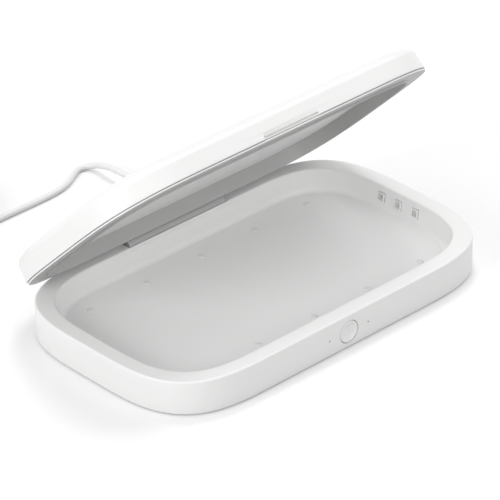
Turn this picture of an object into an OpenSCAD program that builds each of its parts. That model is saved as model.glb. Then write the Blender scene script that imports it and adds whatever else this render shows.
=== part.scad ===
// Sanitizer box with ultraviolet lamps for a phone: a shallow base with a well,
// a hinged lid that stands open, one push button and a captive mains adapter lead.
// Frame: +X along the box to the right, -Y the button side, +Y the hinge side,
// +Z up, origin under the middle of the base on the surface it stands on.

/* [Base] */
// Length of the box, end to end
base_l = 201; // [185:1:230]
// Width of the box, front to back
base_w = 120; // [112:1:140]
// Height of the rim above the table
base_h = 17.5; // [16.5:0.5:22]
// How far the rounded corner reaches along each side
corner_reach = 54.5; // [40:0.5:58]
// Fullness of the corner: 2 is round, more is squarer
corner_power = 3.25; // [2.5:0.05:4]
// Outer wall of the housing
shell_t = 2; // [1.6:0.1:2.4]
// Thickness of the cover under the housing
floor_t = 1.6; // [1.2:0.1:2]
// Gap between the housing and the table
foot_gap = 0.4; // [0.2:0.1:1]
// Width of the rim, from the box's outside to the well
rim_w = 8.3; // [7.8:0.1:10]
// Thickness of the rim
rim_t = 2; // [1.6:0.1:2.4]
// Wall of the well
well_t = 1.5; // [1.2:0.1:1.8]
// How far the well's wall leans in on its way down
well_lean = 1.3; // [0.5:0.1:2]
// Floor of the well's moulding
well_floor_t = 1.2; // [0.8:0.1:1.4]
// Height of the well's floor plate above the table, on top
plate_z = 6.7; // [6.7:0.1:8]
// Thickness of the floor plate
plate_t = 0.6; // [0.4:0.1:0.8]

/* [Phone nubs] */
// Nubs in each row
nub_count = 5; // [3:1:5]
// Distance between nubs along a row
nub_step = 34; // [20:1:36]
// Distance between the two rows
nub_rows = 74.8; // [60:0.2:80]
// Radius of a nub's foot
nub_r = 1.8; // [1:0.1:2.5]
// Height of a nub
nub_h = 0.5; // [0.3:0.1:1]

/* [Lid] */
// Opening angle of the lid as shown
open_angle = 44; // [30:1:44]
// Gap between the closed lid and the rim
lid_gap = 0.2; // [0.1:0.05:0.4]
// How far the lid's ring shows below its wall
reveal = 1.1; // [0.8:0.1:1.6]
// Height of the groove between the wall and the ring
groove_h = 0.4; // [0.2:0.1:0.6]
// How far the ring's edge lies inside the wall's face
ring_in = 0.45; // [0.3:0.05:0.6]
// Height of the lid's side wall
lid_wall_h = 7.8; // [6.8:0.1:12]
// Draft of the lid's side wall
lid_draft = 0.5; // [0:0.1:1]
// Rise of the roof above the side wall
roof_rise = 6.7; // [4:0.1:9]
// Distance over which the roof rises
roof_run = 30; // [20:0.5:36]
// Wall of the lid's shell
lid_t = 2; // [1.6:0.1:2.2]
// Thickness of the lid's ring and inner moulding
liner_t = 1.5; // [1.2:0.1:1.8]
// Height of the hollow in the lid above its ring
hollow_h = 5.9; // [4.5:0.1:8]
// How far the inner lip hangs below the ring
lip_drop = 1; // [0.6:0.1:1.4]
// Gap between the inner lip and the well's edge
lip_gap = 0.5; // [0.3:0.1:0.8]
// Thickness of the inner lip at its foot
lip_t = 0.95; // [0.7:0.05:1.2]
// Length of the finger notch in the lid's front edge
notch_l = 33; // [20:0.5:50]
// Height of the finger notch
notch_h = 1.1; // [0.8:0.1:1.6]
// Depth of the finger notch
notch_d = 1.5; // [1.2:0.1:1.6]
// Height of the scoop above the finger notch
scoop_h = 2.7; // [2:0.1:4]
// Depth of the scoop at its foot
scoop_d = 0.9; // [0.4:0.1:1]

/* [Hinge] */
// Distance of the hinge axis from the back of the box
hinge_in = 2.9; // [2.8:0.05:3.2]
// Distance of the hinge axis below the rim
hinge_drop = 1.1; // [1:0.05:1.3]
// Length of the hinge block
block_l = 60; // [40:1:80]
// Radius of the hinge block's barrel
barrel_r = 4.5; // [4:0.1:4.6]
// Gap around the barrel
barrel_gap = 0.3; // [0.2:0.05:0.5]
// Gap at each end of the block
block_end_gap = 0.5; // [0.3:0.1:1]
// Diameter of a hinge pin
pin_d = 1.5; // [1:0.1:1.6]
// Length of a hinge pin
pin_l = 18; // [12:1:24]
// Outer diameter of a friction sleeve
sleeve_d = 3; // [2.4:0.1:3.6]
// Length of a friction sleeve
sleeve_l = 12; // [8:1:14]
// Radial running clearance of a pin in its sleeve
pin_play = 0.05; // [0.02:0.01:0.1]

/* [Button] */
// Height of the button's centre above the table
button_z = 8.65; // [8.5:0.05:9.5]
// Diameter of the button's face
button_d = 10.8; // [8:0.1:11]
// Gap around the button
button_gap = 0.3; // [0.15:0.05:0.4]
// Travel of the button
button_travel = 0.6; // [0.3:0.05:0.6]
// Depth of the dish in the button's face
dish_depth = 0.45; // [0.2:0.05:0.8]
// Distance from the button to each indicator
indicator_x = 12; // [10:0.5:20]
// Diameter of an indicator's hole
indicator_d = 1; // [0.8:0.1:1.4]

/* [Lamps] */
// Height of the lamp windows above the table
lamp_z = 11.6; // [11:0.1:12.5]
// Distance between lamp windows
lamp_step = 11; // [8:0.5:12]
// Lamps in each end wall
lamp_count = 3; // [1:1:3]
// Side of a square lamp window
window_w = 4.7; // [4.2:0.1:5]
// Side of a square lamp
lamp_w = 3.5; // [2.8:0.1:3.8]

/* [Charging] */
// Outer radius of the charging coil
charge_r = 21; // [16:0.5:24]
// Inner radius of the charging coil
charge_hole_r = 10; // [6:0.5:12]
// Thickness of the charging coil
charge_t = 1.1; // [0.8:0.1:1.2]
// Side of the ferrite plate
ferrite_w = 52; // [50:1:56]
// Thickness of the ferrite plate
ferrite_t = 0.7; // [0.5:0.1:0.8]

/* [Socket and cord] */
// Distance of the power socket from the middle of the back
socket_x = 26; // [20:0.5:26]
// Height of the power socket above the table
socket_z = 8.4; // [8:0.1:8.5]
// Diameter of the cord
cord_d = 3; // [2.4:0.1:3.2]
// Middle radius of the wound coil
wound_r = 17.4; // [16:0.1:20]
// Loops in each layer of the wound coil
wound_loops = 3; // [2:1:4]
// Layers of the wound coil
wound_layers = 4; // [2:2:4]
// Distance between loops and between layers
wound_pitch = 3.6; // [3.6:0.1:4.2]
// Length of the adapter's housing
adapter_l = 42; // [36:1:60]
// Width of the adapter's housing
adapter_w = 28; // [24:1:36]
// Height of the adapter's housing
adapter_h = 26; // [24:1:34]

/* [Hidden] */

// Colours as seen
white = "#f4f4f2";
inner_white = "#ececea";
plate_white = "#e4e4e2";
steel = "#b9bcc0";
brass = "#c9a15a";
board_green = "#2f6b46";
dark = "#2b2c2e";
copper = "#b8703a";

// Steps along one rounded corner, and the corner's reach within the width
corner_steps = 14;
corner_r = min(corner_reach, base_w / 2 - 1, base_l / 2 - 1);

// Front and back of the base, and the heights in it
front_y = -base_w / 2;
back_y = base_w / 2;
cover_top_z = foot_gap + floor_t;
ledge_z = base_h - rim_t;
foot_round = 1.2;
top_round = 0.8;
fit = 0.05;
small_fit = 0.1;
cut = 0.01;

// The rim and the well, as insets from the box's outline
rim_in = rim_w;
rim_edge = 1;
well_top_z = base_h - rim_edge;
plate_seat_z = plate_z - plate_t;
well_under_z = plate_seat_z - well_floor_t;
well_edge_z = plate_z - 0.2;
well_round_h = 3.1;
well_round_w = 2.6;
well_foot_z = well_edge_z + well_round_h;
well_foot_in = rim_in + well_lean;
plate_in = well_foot_in + well_round_w;
function wall_in(z) = rim_in + well_lean * (well_top_z - z) / (well_top_z - well_foot_z);
lean_angle = atan2(well_lean, well_top_z - well_foot_z);

// Heights in the lid, with the lid closed
ring_z = base_h + lid_gap;
lid_edge_z = ring_z + reveal;
liner_top_z = ring_z + liner_t;
lid_wall_z = lid_edge_z + lid_wall_h;
ceiling_z = ring_z + hollow_h;
lip_z = ring_z - lip_drop;
lip_in = rim_in + lip_gap;
lid_lip_t = 0.9;
liner_out = lid_lip_t + small_fit;
hollow_round = 0.6;
liner_round = 1.8;
hollow_in = lip_in + lip_t + 0.25;
roof_steps = 6;

// The hinge
hinge_y = base_w / 2 - hinge_in;
hinge_z = base_h - hinge_drop;
trough_r = barrel_r + barrel_gap;
trough_wall = 0.8;
trough_l = block_l + 2 * block_end_gap;
block_back = hinge_in - 0.2;
block_top = lid_edge_z - hinge_z - 0.4;
neck_front = -4.1;
neck_back = 0.5;
neck_top = 4.1;
shelf_z = hinge_z + neck_top;
shelf_t = 1.2;
sleeve_bore_r = pin_d / 2 + pin_play;
ear_l = 8;
ear_drop = 1.6;
ear_back = back_y - shell_t + small_fit;
ear_y = hinge_y - 2.5;
pin_start = block_l / 2 - sleeve_l + 1;
hinge_screw_x = [-14, -5, 5, 14];
hinge_screw_y = hinge_y - 1.8;

// Screws that hold the cover to the housing
screw_r = 0.95;
screw_bore_r = 1;
screw_head_r = 1.8;
screw_head_h = 1.3;
screw_boss_r = 2.2;
cover_boss_r = 3;
screw_len = 8;
boss_z = cover_top_z + 1.6;
screw_in = 4.9;

// The button, along Y from the front face inwards
wall_back_y = front_y + shell_t;
flange_t = 0.8;
flange_r = 7;
flange_h = 10;
flange_y = wall_back_y + small_fit;
stem_r = 2;
stem_y = flange_y + flange_t;
stem_l = 1;
plunger_r = 1.2;
plunger_l = 1.5;
switch_w = 4.5;
switch_t = 1.5;
switch_y = stem_y + stem_l + button_travel + 0.2;
board_y = switch_y + switch_t;
board_t = 0.8;
button_board_l = 56;
button_board_top = 13;

// The lamps
lamp_t = 1.2;
lamp_board_t = 1;
lamp_board_gap = 0.25;
lamp_board_l = 34;
lamp_board_up = 3.4;
lamp_board_down = 4.5;
lamp_well_w = lamp_w - 0.9;
lamp_glass_t = 0.4;

// The main board
main_x0 = -base_l / 2 + 25.5;
board_clear = 6;
main_l = -ferrite_w / 2 - board_clear - main_x0;
main_w = 60;
main_z = cover_top_z + 0.6;
main_t = 1;
post_in = 4;
chip_w = 7;
chip_t = 1;

// The power socket, its board, and the plug in it
socket_w = 9;
socket_h = 3.2;
socket_wall = 0.3;
socket_l = 5.6;
socket_y = back_y - 0.8;
socket_board_z = socket_z - socket_h / 2 - board_t;
tip_w = 8.2;
tip_h = 2.4;
tip_wall = 0.3;
tip_l = 5.8;
plug_gap = 0.4;
plug_w = 12;
plug_h = 6.4;
plug_l = 20;
relief_l = 24;
relief_r = 2.8;
cord_r = cord_d / 2;
plug_y = back_y + plug_gap;
relief_y = plug_y + plug_l;
cord_y = relief_y + relief_l;

// The cord's route from the plug's relief to the wound coil
wound_in_r = wound_r - wound_loops * wound_pitch / 2;
wound_out_r = wound_r + wound_loops * wound_pitch / 2;
tie_t = 0.5;
tie_w = 6;
wound_z = tie_t + small_fit + cord_r;
wound_x = -64;
cord_lane_y = 136.5;
wound_y = cord_lane_y + wound_out_r;
wound_top_z = wound_z + (wound_layers - 1) * wound_pitch;
cord_route = [
    [socket_x, cord_y, socket_z], [26, 108.5, 8.1], [26, 113, 7.2], [26, 118, 6.6],
    [26, 124, 6.4], [26, 130, 6.1], [26, 134, 5.4], [26, 137.5, 4.4], [25.9, 140.4, 3.4],
    [25, 143.2, 2.4], [23, 145.2, 1.8], [20.2, 146, 1.6], [17.2, 145.2, 1.6], [14, 143.5, 1.6],
    [10.5, 141.5, 1.6], [6.5, 139.5, 1.6], [1.5, 137.8, 1.6], [-5, 136.8, 1.6],
    [-13, 136.5, 1.6], [-21, 136.5, 1.6], [-29, 136.5, 1.7], [-37, 136.5, 1.8],
    [-45, 136.5, 1.9], [-53, 136.5, 2], [wound_x + 2 * cord_d, cord_lane_y, wound_z],
    [wound_x + cord_d, cord_lane_y, wound_z]];
cord_out_l = 28;
cord_sides = 8;
wound_sides = 6;
wound_steps = 24;

// The adapter at the cord's far end
adapter_relief_l = 12;
adapter_relief_r = 2.6;
adapter_x = wound_x - cord_out_l - adapter_relief_l;
adapter_round = 4;
prong_gap = 12.7;
prong_l = 16;
prong_h = 6.4;
prong_t = 1.5;

// Points of a rounded outline that lies `inset` inside the box's own outline
function outline(inset) =
    let (r = max(corner_r - inset, 0.5),
         cx = base_l / 2 - inset - r,
         cy = max(base_w / 2 - inset - r, 0.2),
         e = 2 / corner_power)
    [for (q = [0:3]) for (i = [0:corner_steps])
        let (t = 90 * (q % 2 == 0 ? i : corner_steps - i) / corner_steps,
             sx = q == 0 || q == 3 ? 1 : -1,
             sy = q < 2 ? 1 : -1)
        [sx * (cx + r * pow(cos(t), e)), sy * (cy + r * pow(sin(t), e))]];

// A skin over rings of n points, from a cap that faces down or back to one that faces on
module skin(points, n) {
    rings = len(points) / n;
    sides = [for (k = [0:rings - 2]) for (i = [0:n - 1])
        let (j = (i + 1) % n) [k * n + i, (k + 1) * n + i, (k + 1) * n + j, k * n + j]];
    first = [for (i = [0:n - 1]) i];
    last = [for (i = [n - 1:-1:0]) (rings - 1) * n + i];
    polyhedron(points, concat([first, last], sides));
}

// A moulding whose section is a list of [inset, height] rows
module moulding(rows) {
    skin([for (row = rows) for (p = outline(row[0])) [p[0], p[1], row[1]]],
        4 * (corner_steps + 1));
}

// Rows of a quarter round, from angle a0 to a1 in `steps` steps
function round_rows(inset, z, w, h, a0, a1, steps) =
    [for (i = [0:steps]) let (a = a0 + (a1 - a0) * i / steps)
        [inset - w * cos(a), z + h * sin(a)]];

function unit(v) = v / norm(v);
function heading(p, i) = unit(p[min(i + 1, len(p) - 1)] - p[max(i - 1, 0)]);

// A tube of radius r along the points p
module tube(p, r, n) {
    skin([for (i = [0:len(p) - 1])
        let (t = heading(p, i), s = unit(cross([0, 0, 1], t)), u = cross(t, s))
        for (k = [0:n - 1]) p[i] + r * (cos(360 * k / n) * s + sin(360 * k / n) * u)], n);
}

// Places its children as the open lid stands
module lid_pose() {
    translate([0, hinge_y, hinge_z]) rotate([-open_angle, 0, 0])
        translate([0, -hinge_y, -hinge_z]) children();
}

// The space that the base takes, as the closed lid's frame sees it when the lid is open
module base_space() {
    translate([0, hinge_y, hinge_z]) rotate([open_angle, 0, 0])
        translate([0, -hinge_y, -hinge_z])
        translate([-base_l / 2, hinge_y - 8, 0]) cube([base_l, 20, ring_z]);
}

// Children drawn upright at a height on the front wall, pointing inwards along +Y
module inwards(x, y, z) {
    translate([x, y, z]) rotate([-90, 0, 0]) children();
}

// A YZ outline drawn out along X and centred on it
module along_x(l) {
    translate([-l / 2, 0, 0]) rotate([90, 0, 90]) linear_extrude(l) children();
}

// A slot outline, w wide and h high, drawn along +Y
module slot_y(w, h, l) {
    rotate([-90, 0, 0]) union() {
        for (s = [-1, 1]) translate([s * (w - h) / 2, 0, 0]) cylinder(h = l, d = h, $fn = 32);
        translate([-(w - h) / 2, -h / 2, 0]) cube([w - h, h, l]);
    }
}

// Where the corner screws stand
function screw_spot() =
    let (r = corner_r - screw_in, k = pow(cos(45), 2 / corner_power))
    [base_l / 2 - corner_r + r * k, base_w / 2 - corner_r + r * k];

module at_screws() {
    for (sx = [-1, 1], sy = [-1, 1])
        translate([sx * screw_spot()[0], sy * screw_spot()[1], 0]) children();
}

module base_housing() {
    outer_foot = wall_in(well_foot_z) - well_t;
    under_w = plate_in - outer_foot;
    under_h = well_foot_z - well_under_z;
    rows = concat(
        round_rows(outer_foot + under_w, well_foot_z, under_w, -under_h, 90, 0, 3),
        [[wall_in(ledge_z) - well_t, ledge_z],
         [shell_t, ledge_z],
         [shell_t, foot_gap]],
        [for (i = [0:3]) let (a = 30 * i)
            [foot_round * (1 - sin(a)), foot_gap + foot_round * (1 - cos(a))]],
        round_rows(top_round, base_h - top_round, top_round, top_round, 0, 90, 3),
        [[rim_in - rim_edge, base_h],
         [rim_in - 0.3 * rim_edge, base_h - 0.3 * rim_edge],
         [rim_in, well_top_z]],
        round_rows(well_foot_in + well_round_w, well_foot_z, well_round_w, -well_round_h, 0, 90, 3),
        [[plate_in, plate_seat_z]]);
    color(white) difference() {
        union() {
            moulding(rows);
            at_screws() translate([0, 0, boss_z])
                cylinder(h = ledge_z - boss_z + cut, r = screw_boss_r, $fn = 32);
            hinge_trough();
            for (s = [-1, 1])
                translate([s > 0 ? trough_l / 2 - cut : -trough_l / 2 - ear_l, ear_y, ledge_z - ear_drop])
                    cube([ear_l + cut, ear_back - ear_y, ear_drop + cut]);
        }
        hinge_room();
        at_screws() translate([0, 0, boss_z - 1])
            cylinder(h = screw_len + 1.5, r = screw_bore_r, $fn = 32);
        translate([0, hinge_y, hinge_z]) rotate([0, 90, 0])
            cylinder(h = 2 * (pin_start + pin_l), d = pin_d, center = true, $fn = 48);
        for (side = [-1, 1]) end_wall(side) at_lamps()
            translate([-3 * well_t, -window_w / 2, -window_w / 2])
                cube([5 * well_t, window_w, window_w]);
        inwards(0, front_y - 1, button_z)
            cylinder(h = shell_t + 2, r = button_d / 2 + button_gap, $fn = 64);
        for (s = [-1, 1]) inwards(s * indicator_x, front_y - 1, button_z)
            cylinder(h = shell_t + 2, d = indicator_d, $fn = 32);
        translate([socket_x, back_y - shell_t - 1, socket_z])
            slot_y(socket_w + 2 * small_fit, socket_h + 2 * small_fit, shell_t + 2);
    }
}

// The plate that closes the housing from below and carries the boards
module base_cover() {
    stand_y = wall_back_y + 0.3;
    color(white) difference() {
        union() {
            translate([0, 0, foot_gap]) linear_extrude(floor_t) polygon(outline(shell_t + small_fit));
            at_screws() translate([0, 0, cover_top_z - cut])
                cylinder(h = boss_z - cover_top_z + cut, r = cover_boss_r, $fn = 32);
            for (x = [post_in, main_l - post_in], y = [-1, 1])
                translate([main_x0 + x, y * (main_w / 2 - post_in), cover_top_z - cut])
                    cylinder(h = main_z - cover_top_z + cut, r = 2, $fn = 32);
            for (s = [-1, 1]) {
                translate([s * (button_board_l / 2 - 2) - 0.5, stand_y, cover_top_z - cut])
                    cube([1, board_y - stand_y, 6]);
                translate([socket_x + s * 4 - 1, back_y - 6, cover_top_z - cut])
                    cube([2, 3, socket_board_z - cover_top_z + cut]);
            }
        }
        at_screws() translate([0, 0, -1]) {
            cylinder(h = 1 + cover_top_z + cut, r = screw_head_r + small_fit, $fn = 32);
            cylinder(h = boss_z + 2, r = screw_bore_r + small_fit, $fn = 32);
        }
        translate([0, 0, foot_gap - 1]) pad_outline(small_fit, 1 + pad_sink);
    }
}

// The room that the hinge block turns in
module hinge_room() {
    translate([0, hinge_y, hinge_z]) {
        along_x(trough_l) circle(r = trough_r, $fn = 96);
        along_x(trough_l) translate([-trough_r, 0]) square([2 * trough_r, base_h - hinge_z + 1]);
    }
}

// The solid that the trough under the hinge block is cut from
module hinge_trough() {
    intersection() {
        translate([0, hinge_y, hinge_z])
            along_x(trough_l + 2 * trough_wall) circle(r = trough_r + trough_wall, $fn = 96);
        translate([-base_l / 2, back_y - wall_in(ledge_z), hinge_z - trough_r - 2])
            cube([base_l, wall_in(ledge_z) - shell_t / 2,
                trough_r + 2 - hinge_z + ledge_z + rim_t / 2]);
    }
}

module floor_plate() {
    color(plate_white) translate([0, 0, plate_seat_z])
        linear_extrude(plate_t) polygon(outline(plate_in + fit));
}

module phone_nubs() {
    color(inner_white) for (i = [0:nub_count - 1], s = [-1, 1])
        translate([(i - (nub_count - 1) / 2) * nub_step, s * nub_rows / 2, plate_z]) {
            cylinder(h = 0.6 * nub_h, r1 = nub_r, r2 = 0.9 * nub_r, $fn = 32);
            translate([0, 0, 0.6 * nub_h])
                cylinder(h = 0.4 * nub_h, r1 = 0.9 * nub_r, r2 = 0.6 * nub_r, $fn = 32);
        }
}

// The rest pad is sunk in the underside and stands proud of it
pad_l = 150;
pad_w = 76;
pad_round = 16;
pad_sink = 0.5;

module pad_outline(grow, h) {
    linear_extrude(h) union() {
        square([pad_l + 2 * grow, pad_w + 2 * grow - 2 * pad_round], center = true);
        square([pad_l + 2 * grow - 2 * pad_round, pad_w + 2 * grow], center = true);
        for (sx = [-1, 1], sy = [-1, 1])
            translate([sx * (pad_l / 2 + grow - pad_round), sy * (pad_w / 2 + grow - pad_round)])
                circle(r = pad_round, $fn = 64);
    }
}

module rest_pad() {
    color("#d9d9d7") pad_outline(0, foot_gap + pad_sink);
}

module base_screws() {
    color(steel) at_screws() translate([0, 0, cover_top_z - screw_head_h]) {
        difference() {
            cylinder(h = screw_head_h, r = screw_head_r, $fn = 32);
            translate([0, 0, -cut]) cylinder(h = 0.7, r = 0.9, $fn = 6);
        }
        translate([0, 0, screw_head_h]) cylinder(h = boss_z - cover_top_z + screw_len, r = screw_r, $fn = 32);
    }
}

module charging_coil() {
    color(copper) translate([0, 0, well_under_z - charge_t]) difference() {
        cylinder(h = charge_t, r = charge_r, $fn = 96);
        translate([0, 0, -1]) cylinder(h = charge_t + 2, r = charge_hole_r, $fn = 96);
    }
}

module ferrite_plate() {
    color(dark) translate([-ferrite_w / 2, -ferrite_w / 2, well_under_z - charge_t - ferrite_t])
        cube([ferrite_w, ferrite_w, ferrite_t]);
}

module main_board() {
    color(board_green) translate([main_x0, -main_w / 2, main_z]) cube([main_l, main_w, main_t]);
}

module board_parts() {
    // Places as shares of the board, then length and width as shares of the largest chip
    parts = [[0.22, 0.19, 1, 1], [0.48, 0.21, 0.7, 0.7], [0.79, 0.15, 1.1, 0.9],
        [0.26, 0.51, 0.9, 1.3], [0.51, 0.5, 0.6, 0.6], [0.76, 0.48, 0.7, 1.4],
        [0.29, 0.78, 1.3, 0.7], [0.63, 0.82, 0.9, 0.9]];
    color(dark) for (p = parts)
        translate([main_x0 + p[0] * main_l - p[2] * chip_w / 2,
            (p[1] - 0.5) * main_w - p[3] * chip_w / 2, main_z + main_t])
            cube([p[2] * chip_w, p[3] * chip_w, chip_t]);
}

// Flat cables on the cover: to each lamp board, and to the button's board
module flat_cables() {
    w = 5;
    t = 0.3;
    foot = base_l / 2 - shell_t - 2.5;
    color("#d8cfae") {
        for (s = [-1, 1]) {
            x0 = s > 0 ? main_x0 + main_l - 8 : -foot;
            x1 = s > 0 ? foot : main_x0 + 8;
            translate([x0, -w / 2, cover_top_z]) cube([x1 - x0, w, t]);
            translate([s > 0 ? foot - t : -foot, -w / 2, cover_top_z])
                cube([t, w, lamp_z - cover_top_z]);
        }
        translate([main_x0 + main_l - 14, board_y + board_t + 0.2, cover_top_z])
            cube([w, main_w / 2 - 8, t]);
    }
}

// Children in the frame of the well's end wall: +X out through the wall, at lamp height
module end_wall(side) {
    mirror([side > 0 ? 0 : 1, 0, 0])
        translate([base_l / 2 - wall_in(lamp_z) + well_t, 0, lamp_z])
        rotate([0, lean_angle, 0]) children();
}

module at_lamps() {
    for (i = [0:lamp_count - 1])
        translate([0, (i - (lamp_count - 1) / 2) * lamp_step, 0]) children();
}

module lamp_board(side) {
    color(board_green) end_wall(side)
        translate([lamp_board_gap, -lamp_board_l / 2, -lamp_board_down])
        cube([lamp_board_t, lamp_board_l, lamp_board_up + lamp_board_down]);
}

module lamps(side) {
    color("#efe9d8") end_wall(side) at_lamps()
        translate([lamp_board_gap - lamp_t, 0, 0]) difference() {
            translate([0, -lamp_w / 2, -lamp_w / 2]) cube([lamp_t, lamp_w, lamp_w]);
            translate([-cut, -lamp_well_w / 2, -lamp_well_w / 2])
                cube([0.8, lamp_well_w, lamp_well_w]);
        }
}

module lamp_glass(side) {
    color("#cfd8e0") end_wall(side) at_lamps()
        translate([lamp_board_gap - lamp_t + 0.1, -lamp_well_w / 2 + 0.02, -lamp_well_w / 2 + 0.02])
            cube([lamp_glass_t, lamp_well_w - 0.04, lamp_well_w - 0.04]);
}

module uv_board_right() { lamp_board(1); }
module uv_board_left() { lamp_board(-1); }
module uv_leds_right() { lamps(1); }
module uv_leds_left() { lamps(-1); }
module uv_windows_right() { lamp_glass(1); }
module uv_windows_left() { lamp_glass(-1); }

module button_cap() {
    dish_r = button_d / 2 - 0.8;
    ball_r = (dish_r * dish_r + dish_depth * dish_depth) / (2 * dish_depth);
    color(white) {
        difference() {
            inwards(0, front_y, button_z)
                cylinder(h = flange_y - front_y + cut, r = button_d / 2, $fn = 64);
            translate([0, front_y - ball_r + dish_depth, button_z]) sphere(r = ball_r, $fn = 96);
        }
        intersection() {
            inwards(0, flange_y, button_z) cylinder(h = flange_t, r = flange_r, $fn = 64);
            translate([-flange_r, flange_y, button_z - flange_h / 2])
                cube([2 * flange_r, flange_t, flange_h]);
        }
        inwards(0, stem_y - cut, button_z) cylinder(h = stem_l + cut, r = stem_r, $fn = 32);
    }
}

module switch_plunger() {
    color(dark) inwards(0, stem_y + stem_l, button_z) cylinder(h = plunger_l, r = plunger_r, $fn = 32);
}

module tact_switch() {
    color(steel) difference() {
        translate([-switch_w / 2, switch_y, button_z - switch_w / 2])
            cube([switch_w, switch_t, switch_w]);
        inwards(0, switch_y - 1, button_z)
            cylinder(h = switch_t + 0.95, r = plunger_r + fit, $fn = 32);
    }
}

module button_board() {
    color(board_green) translate([-button_board_l / 2, board_y, cover_top_z])
        cube([button_board_l, board_t, button_board_top - cover_top_z]);
}

module status_leds() {
    color(inner_white) for (s = [-1, 1])
        translate([s * indicator_x - 0.8, board_y - 0.7, button_z - 0.4]) cube([1.6, 0.7, 0.8]);
}

module light_pipes() {
    color("#e8eef2") for (s = [-1, 1]) {
        inwards(s * indicator_x, front_y + 0.6, button_z)
            cylinder(h = shell_t, d = indicator_d - 0.1, $fn = 32);
        inwards(s * indicator_x, wall_back_y + small_fit, button_z)
            cylinder(h = board_y - 0.8 - wall_back_y - small_fit, r = 1, $fn = 32);
    }
}

module hall_sensor() {
    color(dark) translate([magnet_x - 1.45, board_y - 1, button_board_top - 2])
        cube([2.9, 1, 1.3]);
}

module power_socket() {
    color(steel) translate([socket_x, socket_y - socket_l, socket_z]) {
        difference() {
            slot_y(socket_w, socket_h, socket_l);
            translate([0, 0.6, 0])
                slot_y(socket_w - 2 * socket_wall, socket_h - 2 * socket_wall, socket_l);
        }
        translate([-3.2, 0.5, -0.35]) cube([6.4, socket_l - 1.2, 0.7]);
    }
}

module socket_board() {
    color(board_green) translate([socket_x - 6, back_y - 7, socket_board_z])
        cube([12, 5, board_t]);
}

module hinge_pins() {
    color(steel) for (s = [-1, 1])
        translate([s > 0 ? pin_start : -pin_start - pin_l, hinge_y, hinge_z]) rotate([0, 90, 0])
            cylinder(h = pin_l, d = pin_d, $fn = 48);
}

// The roof's rows, from the wall (angle 0) to the flat top (angle 90)
function roof_row(a, start, run, rise) =
    [start + run * (1 - sqrt(cos(a))), lid_wall_z + rise * sin(a)];

// The finger notch in the lid's front edge, with a sloping scoop above it
module finger_recess() {
    notch_top = lid_edge_z + notch_h;
    translate([0, front_y - 1, lid_edge_z]) slot_y(notch_l, 2 * notch_h, notch_d + 1);
    along_x(notch_l - notch_h) polygon([
        [front_y - 1, notch_top - notch_h / 2],
        [front_y + scoop_d, notch_top - notch_h / 2],
        [front_y + scoop_d, notch_top],
        [front_y, notch_top + scoop_h],
        [front_y - 1, notch_top + scoop_h]]);
}

module lid_shell() {
    in_start = lid_draft + lid_t;
    rows = concat(
        [for (i = [roof_steps:-1:0])
            roof_row(90 * i / roof_steps, in_start, roof_run - 1, roof_rise - lid_t)],
        [[lid_t, liner_top_z],
         [lid_lip_t, liner_top_z],
         [lid_lip_t, lid_edge_z],
         [0.2, lid_edge_z],
         [0, lid_edge_z + 0.2]],
        [for (i = [0:roof_steps]) roof_row(90 * i / roof_steps, lid_draft, roof_run, roof_rise)]);
    color(white) lid_pose() difference() {
        moulding(rows);
        finger_recess();
    }
}

module lid_liner() {
    liner_in = lip_in - 0.5;
    crown_z = ceiling_z + well_floor_t;
    rows = concat(
        round_rows(hollow_in + hollow_round, ceiling_z - hollow_round,
            hollow_round, hollow_round, 90, 0, 3),
        [[lip_in + lip_t, lip_z + 0.1],
         [lip_in + lip_t - 0.15, lip_z],
         [lip_in + 0.15, lip_z],
         [lip_in, lip_z + 0.15],
         [lip_in, ring_z],
         [ring_in + 0.15, ring_z],
         [ring_in, ring_z + 0.15],
         [ring_in, lid_edge_z - groove_h],
         [liner_out, lid_edge_z - groove_h],
         [liner_out, liner_top_z],
         [liner_in, liner_top_z]],
        round_rows(liner_in + liner_round, crown_z - liner_round, liner_round, liner_round, 0, 90, 3));
    color(inner_white) lid_pose() difference() {
        union() {
            difference() {
                moulding(rows);
                translate([-block_l / 2 - 0.2, back_y - lip_in + 1, ring_z - 1])
                    cube([block_l + 0.4, 12, liner_t + 1 + small_fit]);
                base_space();
            }
            translate([-block_l / 2, back_y - lip_in + 0.2, shelf_z])
                cube([block_l, neck_back + hinge_y - back_y + lip_in - 0.2, shelf_t]);
        }
        for (x = hinge_screw_x) translate([x, hinge_screw_y, shelf_z - 1])
            cylinder(h = shelf_t + 2, r = screw_bore_r + small_fit, $fn = 32);
    }
}

module lid_hinge_block() {
    color(inner_white) lid_pose() difference() {
        translate([0, hinge_y, hinge_z]) union() {
            along_x(block_l) intersection() {
                circle(r = barrel_r, $fn = 96);
                translate([-2 * barrel_r, -2 * barrel_r])
                    square([2 * barrel_r + block_back, 2 * barrel_r + block_top]);
            }
            along_x(block_l) translate([neck_front, 0])
                square([neck_back - neck_front, neck_top]);
        }
        translate([0, hinge_y, hinge_z]) rotate([0, 90, 0]) for (s = [-1, 1])
            translate([0, 0, s > 0 ? block_l / 2 - sleeve_l : -block_l / 2 - 1])
                cylinder(h = sleeve_l + 1, d = sleeve_d, $fn = 48);
        for (x = hinge_screw_x) translate([x, hinge_screw_y, hinge_z - 1.4])
            cylinder(h = neck_top + 3, r = screw_bore_r, $fn = 32);
    }
}

module torque_sleeves() {
    color(brass) translate([0, hinge_y, hinge_z]) rotate([0, 90, 0]) for (s = [-1, 1])
        translate([0, 0, s > 0 ? block_l / 2 - sleeve_l : -block_l / 2]) difference() {
            cylinder(h = sleeve_l, d = sleeve_d, $fn = 48);
            translate([0, 0, -1]) cylinder(h = sleeve_l + 2, r = sleeve_bore_r, $fn = 48);
        }
}

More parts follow.
